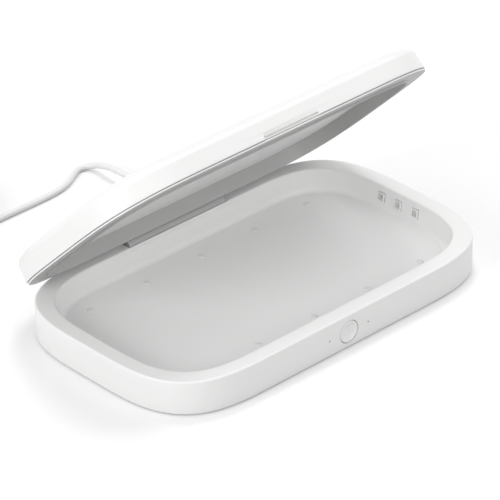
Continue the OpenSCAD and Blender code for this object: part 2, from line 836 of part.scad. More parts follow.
module hinge_screws() {
    color(steel) lid_pose() for (x = hinge_screw_x) translate([x, hinge_screw_y, 0]) {
        translate([0, 0, shelf_z + shelf_t]) cylinder(h = 1.2, r = screw_head_r - 0.1, $fn = 32);
        translate([0, 0, hinge_z - 1.2])
            cylinder(h = shelf_z + shelf_t - hinge_z + 1.2, r = screw_r, $fn = 32);
    }
}

magnet_x = 24;
magnet_r = 2.5;
magnet_t = 2;

module lid_magnet() {
    color(steel) lid_pose() translate([magnet_x, front_y + 5.5, liner_top_z])
        cylinder(h = magnet_t, r = magnet_r, $fn = 48);
}

module plug_tip() {
    color(steel) translate([socket_x, plug_y - tip_l, socket_z]) difference() {
        slot_y(tip_w, tip_h, tip_l);
        translate([0, -cut, 0]) slot_y(tip_w - 2 * tip_wall, tip_h - 2 * tip_wall, tip_l - 0.8);
    }
}

// A block with rounded long edges, drawn along +Y from its middle section
module soft_block(w, h, l, r) {
    rotate([-90, 0, 0]) linear_extrude(l) union() {
        square([w - 2 * r, h], center = true);
        square([w, h - 2 * r], center = true);
        for (sx = [-1, 1], sy = [-1, 1])
            translate([sx * (w / 2 - r), sy * (h / 2 - r)]) circle(r = r, $fn = 32);
    }
}

module cord_plug() {
    color(white) translate([socket_x, plug_y, socket_z]) soft_block(plug_w, plug_h, plug_l, 2.4);
}

module plug_relief() {
    color(white) inwards(socket_x, relief_y, socket_z)
        cylinder(h = relief_l, r1 = relief_r, r2 = cord_r + 0.3, $fn = 32);
}

module power_cord() {
    color(white) tube(cord_route, cord_r, cord_sides);
}

// The wound coil's centreline: layers that spiral in and out, and climb where they turn back
function ease(s) = let (c = min(max(s, 0), 1)) c * c * (3 - 2 * c);
function wound_radius(u) =
    let (k = floor(u / wound_loops), f = u / wound_loops - k, span = wound_out_r - wound_in_r)
    k % 2 == 0 ? wound_out_r - f * span : wound_in_r + f * span;
function wound_height(u, k = 1) =
    k >= wound_layers ? 0
    : ease(2 * (u - k * wound_loops) + 0.5) * wound_pitch + wound_height(u, k + 1);
wound_path = [for (i = [0:wound_layers * wound_loops * wound_steps])
    let (u = i / wound_steps, a = -90 - 360 * u, r = wound_radius(u))
    [wound_x + r * cos(a), wound_y + r * sin(a), wound_z + wound_height(u)]];
wound_line = concat([[wound_x + cord_d, cord_lane_y, wound_z]], wound_path,
    [[wound_x - cord_d, cord_lane_y, wound_top_z],
     [wound_x - cord_out_l, cord_lane_y, wound_top_z]]);
wound_gap = min([for (i = [0:2:len(wound_path) - 1]) for (j = [i + 14:len(wound_path) - 1])
    norm(wound_path[i] - wound_path[j])]) - cord_d;
echo(str("Least gap between turns of cord_coil: ", wound_gap, " mm"));

module cord_coil() {
    color(white) tube(wound_line, cord_r, wound_sides);
}

module cord_tie() {
    play = cord_r + small_fit;
    inner = wound_in_r - play;
    outer = wound_out_r + play;
    top = wound_top_z + play;
    color(dark) translate([wound_x - tie_w / 2, wound_y, 0]) difference() {
        translate([0, inner - tie_t, 0]) cube([tie_w, outer - inner + 2 * tie_t, top + tie_t]);
        translate([-1, inner, tie_t]) cube([tie_w + 2, outer - inner, top - tie_t]);
    }
}

module adapter_relief() {
    color(white) translate([adapter_x, cord_lane_y, wound_top_z]) rotate([0, 90, 0])
        cylinder(h = adapter_relief_l, r1 = adapter_relief_r, r2 = cord_r + 0.3, $fn = 32);
}

module power_adapter() {
    color(white) translate([adapter_x, cord_lane_y, adapter_h / 2]) rotate([0, 0, 90])
        soft_block(adapter_w, adapter_h, adapter_l, adapter_round);
}

module adapter_prongs() {
    color(steel) for (s = [-1, 1])
        translate([adapter_x - adapter_l - prong_l, cord_lane_y + s * prong_gap / 2 - prong_t / 2,
            (adapter_h - prong_h) / 2]) cube([prong_l, prong_t, prong_h]);
}

base_housing();
base_cover();
floor_plate();
phone_nubs();
rest_pad();
base_screws();
charging_coil();
ferrite_plate();
main_board();
board_parts();
flat_cables();
uv_board_right();
uv_leds_right();
uv_windows_right();
uv_board_left();
uv_leds_left();
uv_windows_left();
button_cap();
switch_plunger();
tact_switch();
button_board();
status_leds();
light_pipes();
hall_sensor();
power_socket();
socket_board();
hinge_pins();
lid_shell();
lid_liner();
lid_hinge_block();
torque_sleeves();
hinge_screws();
lid_magnet();
plug_tip();
cord_plug();
plug_relief();
power_cord();
cord_coil();
cord_tie();
adapter_relief();
power_adapter();
adapter_prongs();
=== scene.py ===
"""Looks for a sanitizer box: satin white mouldings, lamps in the end walls and a coiled lead."""

import math

import bmesh
import bpy
from mathutils import Matrix, Vector


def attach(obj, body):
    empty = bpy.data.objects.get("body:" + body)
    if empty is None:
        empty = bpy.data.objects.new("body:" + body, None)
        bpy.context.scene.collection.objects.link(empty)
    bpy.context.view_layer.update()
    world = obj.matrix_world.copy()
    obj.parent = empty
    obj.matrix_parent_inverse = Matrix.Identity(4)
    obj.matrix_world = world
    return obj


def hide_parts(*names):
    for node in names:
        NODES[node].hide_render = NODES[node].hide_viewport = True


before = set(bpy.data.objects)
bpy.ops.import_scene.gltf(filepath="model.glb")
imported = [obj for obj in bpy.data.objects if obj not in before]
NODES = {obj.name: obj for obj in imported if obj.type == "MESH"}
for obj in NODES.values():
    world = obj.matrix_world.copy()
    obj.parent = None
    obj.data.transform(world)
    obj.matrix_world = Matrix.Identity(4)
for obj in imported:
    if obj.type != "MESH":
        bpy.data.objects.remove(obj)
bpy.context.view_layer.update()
MM = 0.001

# ---------------------------------------------------------------- sizes, in millimetres
# The base: its outline has corners that reach far along each side
BASE_L, BASE_W, BASE_H = 201, 120, 17.5
CORNER_REACH, CORNER_POWER, CORNER_STEPS = 54.5, 3.25, 40
SHELL_T, FOOT_GAP = 2, 0.4
RIM_W, RIM_T, RIM_ROUND = 8.3, 2, 1
PAD_L, PAD_W, PAD_CORNER = 150, 76, 16

# The well: leaning walls, a round at their foot, and the plate with its nubs on the floor
WELL_T, WELL_LEAN, WELL_FLOOR_T = 1.5, 1.3, 1.2
WELL_ROUND_W, WELL_ROUND_H = 2.6, 3.1
PLATE_Z, PLATE_T, PLATE_STEP = 6.7, 0.6, 0.2
NUB_COUNT, NUB_STEP, NUB_ROWS_APART, NUB_R, NUB_H = 5, 34, 74.8, 1.8, 0.5
LAMP_Z, LAMP_STEP, LAMP_COUNT, WINDOW_W, LAMP_W, LAMP_T = 11.6, 11, 3, 4.7, 3.5, 1.2

# The lid, measured as it lies closed: cover, liner with its lip and hollow, finger recess
OPEN_ANGLE = 44
LID_GAP, REVEAL, LID_WALL_H, LID_DRAFT = 0.2, 1.1, 7.8, 0.5
ROOF_RISE, ROOF_RUN, LID_T, LID_LIP_T = 6.4, 30, 2, 0.9
LINER_T, LINER_GAP, LINER_ROUND, GROOVE_H, RING_IN = 1.5, 0.1, 1.8, 0.4, 0.45
HOLLOW_H, HOLLOW_ROUND = 5.9, 0.6
LIP_DROP, LIP_GAP, LIP_T = 1, 0.5, 0.95
NOTCH_L, NOTCH_H, SCOOP_H, SCOOP_D = 33, 1.1, 2.7, 0.9

# The hinge
HINGE_IN, HINGE_DROP = 2.9, 1.1
BLOCK_L, BARREL_R, BARREL_GAP, BLOCK_END_GAP = 60, 4.5, 0.3, 0.5

# Button and indicators in the front wall, socket in the back wall
BUTTON_Z, BUTTON_D, BUTTON_GAP, DISH_DEPTH = 8.65, 10.8, 0.3, 0.45
INDICATOR_X, INDICATOR_D = 12, 1
SOCKET_X, SOCKET_Z, SOCKET_W, SOCKET_H = 26, 8.4, 9, 3.2

# Heights and insets that follow from them
FRONT_Y, BACK_Y = -BASE_W / 2, BASE_W / 2
LEDGE_Z = BASE_H - RIM_T
WELL_TOP_Z = BASE_H - RIM_ROUND
WELL_FOOT_Z = PLATE_Z - PLATE_STEP + WELL_ROUND_H
WELL_FOOT_IN = RIM_W + WELL_LEAN
WELL_ANGLE = math.atan2(WELL_LEAN, WELL_TOP_Z - WELL_FOOT_Z)
PLATE_IN = WELL_FOOT_IN + WELL_ROUND_W
PLATE_SEAT_Z = PLATE_Z - PLATE_T
WELL_UNDER_Z = PLATE_SEAT_Z - WELL_FLOOR_T
RING_Z = BASE_H + LID_GAP
LID_EDGE_Z = RING_Z + REVEAL
GROOVE_Z = LID_EDGE_Z - GROOVE_H
LINER_TOP_Z = RING_Z + LINER_T
LID_WALL_Z = LID_EDGE_Z + LID_WALL_H
CEILING_Z = RING_Z + HOLLOW_H
LIP_Z = RING_Z - LIP_DROP
LIP_IN = RIM_W + LIP_GAP
LINER_OUT = LID_LIP_T + LINER_GAP
HINGE_Y = BASE_W / 2 - HINGE_IN
HINGE_Z = BASE_H - HINGE_DROP
TROUGH_R = BARREL_R + BARREL_GAP
TROUGH_L = BLOCK_L + 2 * BLOCK_END_GAP

# The lead, with the same route points as the solids
CORD_D = 3
PLUG_W, PLUG_H, PLUG_L = 12, 6.4, 20
PLUG_Y = BACK_Y + 0.4
RELIEF_L, RELIEF_R, RELIEF_END_R = 24, 2.8, CORD_D / 2 + 0.15
CORD_Y = PLUG_Y + PLUG_L + RELIEF_L
WOUND_R, WOUND_LOOPS, WOUND_LAYERS, WOUND_PITCH = 17.4, 3, 4, 3.6
WOUND_IN_R = WOUND_R - WOUND_LOOPS * WOUND_PITCH / 2
WOUND_OUT_R = WOUND_R + WOUND_LOOPS * WOUND_PITCH / 2
TIE_T, TIE_W = 0.5, 6
WOUND_Z = TIE_T + 0.1 + CORD_D / 2
WOUND_X, CORD_LANE_Y = -64, 136.5
WOUND_Y = CORD_LANE_Y + WOUND_OUT_R
WOUND_TOP_Z = WOUND_Z + (WOUND_LAYERS - 1) * WOUND_PITCH
CORD_ROUTE = [
    (SOCKET_X, CORD_Y, SOCKET_Z), (26, 108.5, 8.1), (26, 113, 7.2), (26, 118, 6.6),
    (26, 124, 6.4), (26, 130, 6.1), (26, 134, 5.4), (26, 137.5, 4.4), (25.9, 140.4, 3.4),
    (25, 143.2, 2.4), (23, 145.2, 1.8), (20.2, 146, 1.6), (17.2, 145.2, 1.6), (14, 143.5, 1.6),
    (10.5, 141.5, 1.6), (6.5, 139.5, 1.6), (1.5, 137.8, 1.6), (-5, 136.8, 1.6),
    (-13, 136.5, 1.6), (-21, 136.5, 1.6), (-29, 136.5, 1.7), (-37, 136.5, 1.8),
    (-45, 136.5, 1.9), (-53, 136.5, 2), (WOUND_X + 2 * CORD_D, CORD_LANE_Y, WOUND_Z),
    (WOUND_X + CORD_D, CORD_LANE_Y, WOUND_Z),
]
CORD_OUT_L = 28
ADAPTER_RELIEF_L, ADAPTER_RELIEF_R = 12, 2.6
ADAPTER_X = WOUND_X - CORD_OUT_L - ADAPTER_RELIEF_L
ADAPTER_L, ADAPTER_W, ADAPTER_H = 42, 28, 26
PRONG_GAP, PRONG_L, PRONG_H, PRONG_T = 12.7, 16, 6.4, 1.5


# ---------------------------------------------------------------- camera
def make_camera():
    """The photograph's view: a long lens, a little above the box, from its left front corner."""
    azimuth, elevation, roll = (math.radians(a) for a in (-42.71, 30.66, -1.11))
    target = Vector((8.96, 13.75, 16.17)) * MM
    distance = 1.769
    back = Vector((math.sin(azimuth) * math.cos(elevation),
                   -math.cos(azimuth) * math.cos(elevation),
                   math.sin(elevation)))
    right = (-back).cross(Vector((0, 0, 1))).normalized()
    up = right.cross(-back)
    right_r = math.cos(roll) * right + math.sin(roll) * up
    up_r = -math.sin(roll) * right + math.cos(roll) * up
    data = bpy.data.cameras.new("camera")
    data.sensor_width = 36
    data.lens = 278.2
    data.clip_end = 20
    camera = bpy.data.objects.new("camera", data)
    place = Matrix((right_r, up_r, back)).transposed().to_4x4()
    place.translation = target + back * distance
    camera.matrix_world = place
    bpy.context.scene.collection.objects.link(camera)
    bpy.context.scene.camera = camera


make_camera()


# ---------------------------------------------------------------- curves and sections
def angles(start, end, steps):
    """Angles in radians, evenly spaced from start to end degrees."""
    return [math.radians(start + (end - start) * i / steps) for i in range(steps + 1)]


def circle(radius, segments):
    """Points round a circle about (0, 0)."""
    turns = [2 * math.pi * i / segments for i in range(segments)]
    return [(radius * math.cos(a), radius * math.sin(a)) for a in turns]


def rounded_section(w, h, power=4, segments=48):
    """A rounded section of width w and height h about its middle."""
    return [(w / 2 * math.copysign(abs(c) ** (2 / power), c),
             h / 2 * math.copysign(abs(s) ** (2 / power), s)) for c, s in circle(1, segments)]


def outline(inset):
    """The box's rounded outline, drawn inset millimetres inside itself."""
    least_r, least_side = 0.5, 0.2
    r = max(CORNER_REACH - inset, least_r)
    cx, cy = BASE_L / 2 - inset - r, max(BASE_W / 2 - inset - r, least_side)
    e = 2 / CORNER_POWER
    points = []
    for sx, sy, rising in ((1, 1, True), (-1, 1, False), (-1, -1, True), (1, -1, False)):
        for i in range(CORNER_STEPS + 1):
            t = math.pi / 2 * (i if rising else CORNER_STEPS - i) / CORNER_STEPS
            points.append((sx * (cx + r * max(math.cos(t), 0) ** e),
                           sy * (cy + r * max(math.sin(t), 0) ** e)))
    return points


def round_rows(inset, z, w, h, start, end, steps):
    """Rows of a round about (inset, z), w wide and h high, between two angles in degrees."""
    return [(inset - w * math.cos(a), z + h * math.sin(a)) for a in angles(start, end, steps)]


# ---------------------------------------------------------------- mesh helpers
def to_object(name, mesh):
    """An object of a mesh, in the scene."""
    obj = bpy.data.objects.new(name, mesh)
    bpy.context.scene.collection.objects.link(obj)
    return obj


def smooth(obj, angle=30):
    """Smooth shading, with creases sharper than angle degrees kept."""
    obj.data.shade_smooth()
    obj.data.set_sharp_from_angle(angle=math.radians(angle))
    return obj


def soften(obj, width=0.12):
    """Small rounds on an object's sharp edges, as a moulded piece has."""
    bevel = obj.modifiers.new("soft_edges", "BEVEL")
    bevel.width = width * MM
    bevel.segments = 2
    bevel.limit_method = "ANGLE"
    bevel.angle_limit = math.radians(35)
    bevel.use_clamp_overlap = True
    return obj


def move(obj, matrix):
    """Moves an object's mesh and returns the object."""
    obj.data.transform(matrix)
    return obj


def face_outwards(obj, weld=0):
    """Merges points closer than weld metres and turns all faces outwards."""
    bm = bmesh.new()
    bm.from_mesh(obj.data)
    if weld:
        bmesh.ops.remove_doubles(bm, verts=bm.verts, dist=weld)
    bmesh.ops.recalc_face_normals(bm, faces=bm.faces)
    bm.to_mesh(obj.data)
    bm.free()
    return obj


def skin(name, rings, closed=False):
    """A mesh over rings of points in millimetres, all of one length, with capped ends."""
    n = len(rings[0])
    verts = [Vector(p) * MM for ring in rings for p in ring]
    last = len(rings) if closed else len(rings) - 1
    faces = []
    for k in range(last):
        a, b = k * n, (k + 1) % len(rings) * n
        faces += [(a + i, a + (i + 1) % n, b + (i + 1) % n, b + i) for i in range(n)]
    if not closed:
        faces.append(tuple(range(n - 1, -1, -1)))
        faces.append(tuple(range(len(verts) - n, len(verts))))
    mesh = bpy.data.meshes.new(name)
    mesh.from_pydata(verts, [], faces)
    mesh.update()
    return to_object(name, mesh)


def moulding(name, rows):
    """A moulding that follows the box's outline, with a section of (inset, height) rows."""
    return skin(name, [[(x, y, z) for x, y in outline(inset)] for inset, z in rows])


def lathe(name, profile, segments):
    """A turned solid about +Z from (radius, height) points, the first and last on the axis."""
    rings = [[(x, y, z) for x, y in circle(r, segments)] for r, z in profile]
    return face_outwards(skin(name, rings), weld=1e-7)


def block(name, low, high, bevel=0):
    """A block between two corners in millimetres, with rounded edges."""
    bm = bmesh.new()
    bmesh.ops.create_cube(bm, size=1)
    size, middle = Vector(high) - Vector(low), (Vector(high) + Vector(low)) / 2
    for v in bm.verts:
        v.co = (Vector([v.co[i] * size[i] for i in range(3)]) + middle) * MM
    if bevel:
        bmesh.ops.bevel(bm, geom=bm.edges[:], offset=bevel * MM, segments=3, affect="EDGES",
                        profile=0.5)
    mesh = bpy.data.meshes.new(name)
    bm.to_mesh(mesh)
    bm.free()
    return to_object(name, mesh)


def cylinder_x(name, radius, length, y, z):
    """A cylinder along X, centred on it."""
    return skin(name, [[(x, y + a, z + b) for a, b in circle(radius, 96)]
                       for x in (-length / 2, length / 2)])


def rod_y(name, x, z, y0, y1, radius, segments):
    """A cylinder along Y from y0 to y1."""
    return skin(name, [[(x + a, y, z - b) for a, b in circle(radius, segments)] for y in (y0, y1)])


def slot_y(name, x, z, w, h, y0, y1):
    """A prism along Y with a slot outline, w wide and h high."""
    section = [(x + s * ((w - h) / 2 + h / 2 * math.cos(a)), z + s * h / 2 * math.sin(a))
               for s in (1, -1) for a in angles(-90, 90, 16)]
    return skin(name, [[(px, y, pz) for px, pz in section] for y in (y1, y0)])


def boolean(obj, others, operation="DIFFERENCE"):
    """Cuts others from obj, joins them to it or keeps what they share, and removes them."""
    for other in others:
        modifier = obj.modifiers.new("cut", "BOOLEAN")
        modifier.operation = operation
        modifier.solver = "EXACT"
        modifier.object = other
    graph = bpy.context.evaluated_depsgraph_get()
    mesh = bpy.data.meshes.new_from_object(obj.evaluated_get(graph))
    obj.modifiers.clear()
    obj.data = mesh
    for other in others:
        bpy.data.objects.remove(other)
    return obj


def join(name, objects):
    """One object made of several."""
    graph = bpy.context.evaluated_depsgraph_get()
    bm = bmesh.new()
    for obj in objects:
        mesh = bpy.data.meshes.new_from_object(obj.evaluated_get(graph))
        mesh.transform(obj.matrix_world)
        bm.from_mesh(mesh)
    mesh = bpy.data.meshes.new(name)
    bm.to_mesh(mesh)
    bm.free()
    for obj in objects:
        bpy.data.objects.remove(obj)
    return to_object(name, mesh)


# ---------------------------------------------------------------- materials
def shader(name, colour, roughness, **values):
    """A material with its Principled shader, and the position on the piece."""
    material = bpy.data.materials.new(name)
    material.use_nodes = True
    tree = material.node_tree
    principled = tree.nodes["Principled BSDF"]
    principled.inputs["Base Color"].default_value = (*colour, 1)
    principled.inputs["Roughness"].default_value = roughness
    for key, value in values.items():
        principled.inputs[key.replace("_", " ")].default_value = value
    where = tree.nodes.new("ShaderNodeTexCoord")
    return material, tree, principled, where.outputs["Object"]


def noise(tree, position, scale, detail=3, rough=0.55):
    """A noise value with scale bumps to the metre."""
    node = tree.nodes.new("ShaderNodeTexNoise")
    node.inputs["Scale"].default_value = scale
    node.inputs["Detail"].default_value = detail
    node.inputs["Roughness"].default_value = rough
    tree.links.new(position, node.inputs["Vector"])
    return node.outputs["Fac"]


def spread(tree, value, low, high):
    """Maps a noise value to low..high."""
    node = tree.nodes.new("ShaderNodeMapRange")
    node.inputs["From Min"].default_value = 0.1
    node.inputs["From Max"].default_value = 0.9
    node.inputs["To Min"].default_value = low
    node.inputs["To Max"].default_value = high
    tree.links.new(value, node.inputs["Value"])
    return node.outputs["Result"]


def tint(tree, value, dark, light):
    """Mixes two colours by a noise value."""
    node = tree.nodes.new("ShaderNodeMix")
    node.data_type = "RGBA"
    node.inputs["A"].default_value = (*dark, 1)
    node.inputs["B"].default_value = (*light, 1)
    tree.links.new(value, node.inputs["Factor"])
    return node.outputs["Result"]


def bump(tree, principled, height, strength, distance):
    """Relief on a surface, distance metres deep."""
    node = tree.nodes.new("ShaderNodeBump")
    node.inputs["Strength"].default_value = strength
    node.inputs["Distance"].default_value = distance
    tree.links.new(height, node.inputs["Height"])
    tree.links.new(node.outputs["Normal"], principled.inputs["Normal"])


def moulded(name, colour, roughness=0.4, grain=0.35, grain_mm=0.25, vary=0.012):
    """Moulded plastic: a fine spark-eroded grain, faint flow marks, uneven sheen."""
    material, tree, principled, position = shader(name, colour, roughness)
    fine = noise(tree, position, 1000 / grain_mm, 2, 0.6)
    flow = noise(tree, position, 22, 1, 0.4)
    dark = tuple(c - vary for c in colour)
    tree.links.new(tint(tree, spread(tree, flow, 0, 1), dark, colour),
                   principled.inputs["Base Color"])
    tree.links.new(spread(tree, noise(tree, position, 40, 1), roughness - 0.04, roughness + 0.04),
                   principled.inputs["Roughness"])
    bump(tree, principled, fine, grain, 0.00004)
    return material


def metal(name, colour, roughness=0.28):
    """Metal with fine brushed lines along X."""
    material, tree, principled, position = shader(name, colour, roughness, Metallic=1)
    stretch = tree.nodes.new("ShaderNodeMapping")
    stretch.inputs["Scale"].default_value = (0.06, 1, 1)
    tree.links.new(position, stretch.inputs["Vector"])
    line_mm = 0.15
    lines = noise(tree, stretch.outputs["Vector"], 1000 / line_mm, 2)
    tree.links.new(spread(tree, lines, roughness - 0.08, roughness + 0.1),
                   principled.inputs["Roughness"])
    tree.links.new(tint(tree, noise(tree, position, 300), tuple(c * 0.9 for c in colour), colour),
                   principled.inputs["Base Color"])
    bump(tree, principled, lines, 0.2, 0.00002)
    return material


def board_mask(name):
    """Green solder mask over copper tracks."""
    material, tree, principled, position = shader(name, (0.03, 0.16, 0.07), 0.35)
    tracks = tree.nodes.new("ShaderNodeTexBrick")
    tracks.inputs["Scale"].default_value = 260
    tracks.inputs["Mortar Size"].default_value = 0.12
    tracks.inputs["Color1"].default_value = (0.025, 0.14, 0.06, 1)
    tracks.inputs["Color2"].default_value = (0.03, 0.17, 0.075, 1)
    tracks.inputs["Mortar"].default_value = (0.05, 0.25, 0.1, 1)
    tree.links.new(position, tracks.inputs["Vector"])
    tree.links.new(tracks.outputs["Color"], principled.inputs["Base Color"])
    bump(tree, principled, tracks.outputs["Fac"], 0.3, 0.00003)
    return material


def windings(name):
    """Enamelled copper in fine rings about +Z."""
    material, tree, principled, position = shader(name, (0.62, 0.27, 0.12), 0.32, Metallic=1)
    rings = tree.nodes.new("ShaderNodeTexWave")
    rings.wave_type = "RINGS"
    rings.rings_direction = "Z"
    rings.inputs["Scale"].default_value = 250
    tree.links.new(position, rings.inputs["Vector"])
    tree.links.new(tint(tree, rings.outputs["Fac"], (0.3, 0.1, 0.04), (0.75, 0.35, 0.16)),
                   principled.inputs["Base Color"])
    bump(tree, principled, rings.outputs["Fac"], 0.6, 0.0001)
    return material


def clear(name, colour, roughness=0.05, ior=1.46):
    """Clear quartz or plastic with a faint haze, which lets most light straight through."""
    material, tree, principled, position = shader(
        name, colour, roughness, IOR=ior, Transmission_Weight=0.9, Alpha=0.3)
    tree.links.new(spread(tree, noise(tree, position, 900), roughness, roughness + 0.08),
                   principled.inputs["Roughness"])
    return material


WHITE = (0.87, 0.87, 0.865)
# The grey of the lid's liner and hinge block is painted shade, not their plastic's own colour; the
# liner's ceiling gets a paler grey, which is a lighter painted shade.
LINER_SHADE_GREY = (0.45, 0.45, 0.447)
shell_plastic = moulded("shell_plastic", WHITE, 0.38)
inner_plastic = moulded("inner_plastic", LINER_SHADE_GREY, 0.42)
ceiling_painted_shade = moulded("ceiling_painted_shade", (0.78, 0.78, 0.777), 0.4, 0.15)
plate_plastic = moulded("plate_plastic", (0.88, 0.88, 0.877), 0.42, 0.2, 0.4)
silicone = moulded("silicone", (0.78, 0.78, 0.775), 0.6, 0.4, 0.15)
button_plastic = moulded("button_plastic", WHITE, 0.34)
cord_white = moulded("cord_white", (0.84, 0.84, 0.835), 0.5, 0.3, 0.3)
tie_strap = moulded("tie_strap", (0.74, 0.74, 0.735), 0.65, 0.6, 0.4)
adapter_plastic = moulded("adapter_plastic", WHITE, 0.22, 0.1)
chip = moulded("chip", (0.03, 0.03, 0.032), 0.5, 0.5, 0.1, 0.006)
ferrite = moulded("ferrite", (0.045, 0.045, 0.05), 0.6, 0.6, 0.3, 0.01)
flat_cable = moulded("flat_cable", (0.62, 0.5, 0.27), 0.3, 0.2, 1.0, 0.05)
lamp_ceramic = moulded("lamp_ceramic", (0.9, 0.89, 0.86), 0.45, 0.4, 0.08)
steel = metal("steel", (0.6, 0.61, 0.63))
brass_metal = metal("brass_metal", (0.8, 0.62, 0.32), 0.3)
circuit_board = board_mask("circuit_board")
copper = windings("copper")
lamp_glass = clear("lamp_glass", (0.93, 0.96, 1.0))
clear_plastic = clear("clear_plastic", (0.9, 0.93, 0.95), 0.15, 1.49)


def dress(obj, material, body, slot, *nodes):
    """A piece's material, its body and the nodes that it stands for; slot is not used."""
    if material:
        obj.data.materials.clear()
        obj.data.materials.append(material)
    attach(obj, body)
    if nodes:
        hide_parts(*nodes)
    return obj


# ---------------------------------------------------------------- the lead
def ease(s):
    """0 up to s = 0, 1 from s = 1, and a gentle S between."""
    c = min(max(s, 0), 1)
    return c * c * (3 - 2 * c)


def wound_point(u):
    """The coil's centreline at u turns: layers that spiral in, then out, and climb between."""
    k = math.floor(u / WOUND_LOOPS)
    f = u / WOUND_LOOPS - k
    span = WOUND_OUT_R - WOUND_IN_R
    r = WOUND_OUT_R - f * span if k % 2 == 0 else WOUND_IN_R + f * span
    climb = sum(ease(2 * (u - j * WOUND_LOOPS) + 0.5) for j in range(1, WOUND_LAYERS))
    a = math.radians(-90 - 360 * u)
    return (WOUND_X + r * math.cos(a), WOUND_Y + r * math.sin(a), WOUND_Z + climb * WOUND_PITCH)


def eased_line(points):
    """A smooth line through given points."""
    per_step = 5
    line = []
    last = len(points) - 1
    for i in range(last):
        p0, p1 = Vector(points[max(i - 1, 0)]), Vector(points[i])
        p2, p3 = Vector(points[i + 1]), Vector(points[min(i + 2, last)])
        for s in range(per_step):
            t = s / per_step
            line.append(0.5 * ((2 * p1) + (p2 - p0) * t + (2 * p0 - 5 * p1 + 4 * p2 - p3) * t * t
                               + (3 * p1 - p0 - 3 * p2 + p3) * t ** 3))
    line.append(Vector(points[-1]))
    return line


def make_cord():
    """The whole lead in one tube, from the plug's relief through the coil, and its length."""
    turns, turn_steps, into_relief = WOUND_LAYERS * WOUND_LOOPS, 32, 2
    line = eased_line(CORD_ROUTE)
    line += [Vector(wound_point(i / turn_steps)) for i in range(turns * turn_steps + 1)]
    line += [Vector((x, CORD_LANE_Y, WOUND_TOP_Z))
             for x in (WOUND_X - CORD_D, WOUND_X - CORD_OUT_L, ADAPTER_X - into_relief)]
    curve = bpy.data.curves.new("power_cord_lead", "CURVE")
    curve.dimensions = "3D"
    spline = curve.splines.new("POLY")
    spline.points.add(len(line) - 1)
    for point, place in zip(spline.points, line):
        point.co = (*(place * MM), 1)
    curve.bevel_depth = CORD_D / 2 * MM
    curve.bevel_resolution = 5
    curve.use_fill_caps = True
    length = sum((b - a).length for a, b in zip(line, line[1:])) * MM
    return to_object("power_cord_lead", curve), length


def make_plug():
    """The plug's moulded grip, with three shallow grooves across it."""
    face_round, face_less = 0.9, 0.12
    stations = [(face_round * (1 - math.cos(a)), 1 - face_less * (1 - math.sin(a)))
                for a in angles(0, 90, 8)]
    groove_count, first_groove, groove_step = 3, 10.5, 2.6
    groove = ((-0.55, 1), (-0.3, 0.965), (0, 0.95), (0.3, 0.965), (0.55, 1))
    for k in range(groove_count):
        y = first_groove + groove_step * k
        stations += [(y + along, size) for along, size in groove]
    tail_l, tail_size = 2.6, 0.55
    stations += [(PLUG_L - tail_l + tail_l * math.sin(a), tail_size + (1 - tail_size) * math.cos(a))
                 for a in angles(0, 90, 8)]
    rings = [[(SOCKET_X + x * size, PLUG_Y + y, SOCKET_Z + z * size)
              for x, z in reversed(rounded_section(PLUG_W, PLUG_H))] for y, size in stations]
    return smooth(skin("plug_grip", rings), 40)


def turned_along(name, profile, axis, start):
    """A turned piece of (radius, distance) points whose axis runs along axis from start."""
    obj = lathe(name, [(0, profile[0][1])] + profile + [(0, profile[-1][1])], 40)
    rotation = Vector((0, 0, 1)).rotation_difference(Vector(axis)).to_matrix().to_4x4()
    move(obj, Matrix.Translation(Vector(start) * MM) @ rotation)
    return smooth(obj, 40)


def ribbed_taper(length, r0, r1, ribs, ribbed):
    """A strain relief's profile: grooves on its thick part, then a plain taper."""
    chamfer, first, plain, groove = 0.25, 1.5, 2, 0.35
    profile = [(r0 - chamfer, 0), (r0, chamfer)]
    for k in range(ribs):
        z = first + (ribbed - plain) * k / ribs
        r = r0 + (r1 - r0) * z / length
        profile += [(r, z), (r - groove, z + 0.25), (r - groove, z + 0.75), (r, z + 1)]
    for k in range(1, 9):
        z = ribbed + (length - ribbed) * k / 8
        profile.append((r0 + (r1 - r0) * z / length, z))
    return profile


def make_tie():
    """A soft strap round the bundle."""
    play, corner = CORD_D / 2 + 0.1, 1.2
    y0, y1 = WOUND_IN_R + WOUND_PITCH / 2 - play, WOUND_OUT_R - WOUND_PITCH / 2 + play
    z0, z1 = TIE_T, WOUND_TOP_Z + play
    section = ((-TIE_W / 2, 0), (-TIE_W / 2, TIE_T), (TIE_W / 2, TIE_T), (TIE_W / 2, 0))
    rings = []
    for cy, cz, start in ((y1 - corner, z1 - corner, 0), (y0 + corner, z1 - corner, 90),
                          (y0 + corner, z0 + corner, 180), (y1 - corner, z0 + corner, 270)):
        for a in angles(start, start + 90, 8):
            rings.append([(WOUND_X + x, WOUND_Y + cy + (corner + t) * math.cos(a),
                           cz + (corner + t) * math.sin(a)) for x, t in section])
    strap = face_outwards(skin("tie_band", rings, closed=True))
    return smooth(soften(strap, 0.15), 35)


def make_adapter():
    """The mains adapter: a rounded housing with a parting line near its face."""
    face_round, back_round = 1.6, 3
    line_at, line_half, line_depth = 7, 0.3, 0.35
    stations = [(face_round * (1 - math.cos(a)), face_round * (1 - math.sin(a)))
                for a in angles(0, 90, 6)]
    stations += [(line_at - line_half, 0), (line_at - line_half, line_depth),
                 (line_at + line_half, line_depth), (line_at + line_half, 0)]
    stations += [(ADAPTER_L - back_round + back_round * math.sin(a),
                  back_round - back_round * math.cos(a)) for a in angles(0, 90, 6)]
    rings = []
    for along, inset in stations:
        section = rounded_section(ADAPTER_W - 2 * inset, ADAPTER_H - 2 * inset, 7, 96)
        rings.append([(ADAPTER_X - ADAPTER_L + along, CORD_LANE_Y + y, ADAPTER_H / 2 + z)
                      for y, z in section])
    return smooth(skin("adapter_housing", rings), 40)


